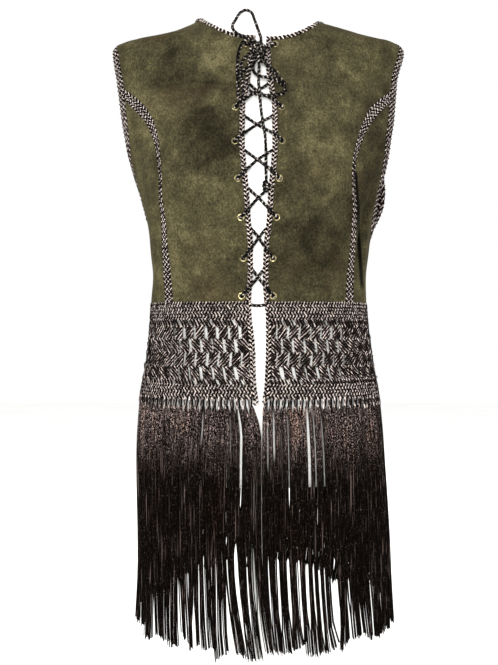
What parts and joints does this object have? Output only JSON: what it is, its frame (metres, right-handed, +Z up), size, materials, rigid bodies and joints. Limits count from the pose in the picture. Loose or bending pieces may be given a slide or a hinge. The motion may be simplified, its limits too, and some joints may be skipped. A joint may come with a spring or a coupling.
{
  "type": "suede vest on a dress form",
  "caption": "Laced suede vest with crocheted seams, an openwork waistband and a long yarn fringe, worn by a limbless dress form on a pole with a round base.",
  "frame": {"origin": "centre of the base's underside, where the part stands", "axes": "+Z up; the vest faces -Y; +X is to the right of someone who faces the vest"},
  "size_m": [0.428, 0.428, 1.082],
  "materials": {
    "suede": "olive suede, napped, unevenly dyed",
    "crochet_yarn": "black and beige flecked yarn, crocheted",
    "fringe_yarn": "dark brown flecked yarn, loose strands",
    "eyelet_brass": "rolled and polished",
    "lacing_cord": "black cord with pale flecks",
    "form_jersey": "white stretch jersey",
    "stand_paint": "pale satin paint"
  },
  "bodies": {
    "root": {"front_left": "suede", "front_right": "suede", "side_left": "suede", "side_right": "suede", "back_panel": "suede", "edging_neck": "crochet_yarn", "edging_front_left": "crochet_yarn", "edging_front_right": "crochet_yarn", "edging_armhole_left": "crochet_yarn", "edging_armhole_right": "crochet_yarn", "braid_front_left": "crochet_yarn", "braid_front_right": "crochet_yarn", "braid_back_left": "crochet_yarn", "braid_back_right": "crochet_yarn", "crochet_band": "crochet_yarn", "fringe_front_left": "fringe_yarn", "fringe_front_right": "fringe_yarn", "fringe_back_left": "fringe_yarn", "fringe_back_right": "fringe_yarn", "eyelet_left_1": "eyelet_brass", "eyelet_left_2": "eyelet_brass", "eyelet_left_3": "eyelet_brass", "eyelet_left_4": "eyelet_brass", "eyelet_left_5": "eyelet_brass", "eyelet_left_6": "eyelet_brass", "eyelet_left_7": "eyelet_brass", "eyelet_left_8": "eyelet_brass", "eyelet_right_1": "eyelet_brass", "eyelet_right_2": "eyelet_brass", "eyelet_right_3": "eyelet_brass", "eyelet_right_4": "eyelet_brass", "eyelet_right_5": "eyelet_brass", "eyelet_right_6": "eyelet_brass", "eyelet_right_7": "eyelet_brass", "eyelet_right_8": "eyelet_brass", "lacing_a": "lacing_cord", "lacing_b": "lacing_cord", "lacing_tie": "lacing_cord", "bow_knot": "lacing_cord", "bow_loop_up": "lacing_cord", "bow_loop_left": "lacing_cord", "bow_loop_right": "lacing_cord", "bow_end_short": "lacing_cord", "bow_end_long": "lacing_cord", "bow_end_knot": "lacing_cord", "form_torso": "form_jersey", "stand_pole": "stand_paint", "stand_collar": "stand_paint", "stand_base": "stand_paint"}
  },
  "joints": []
}
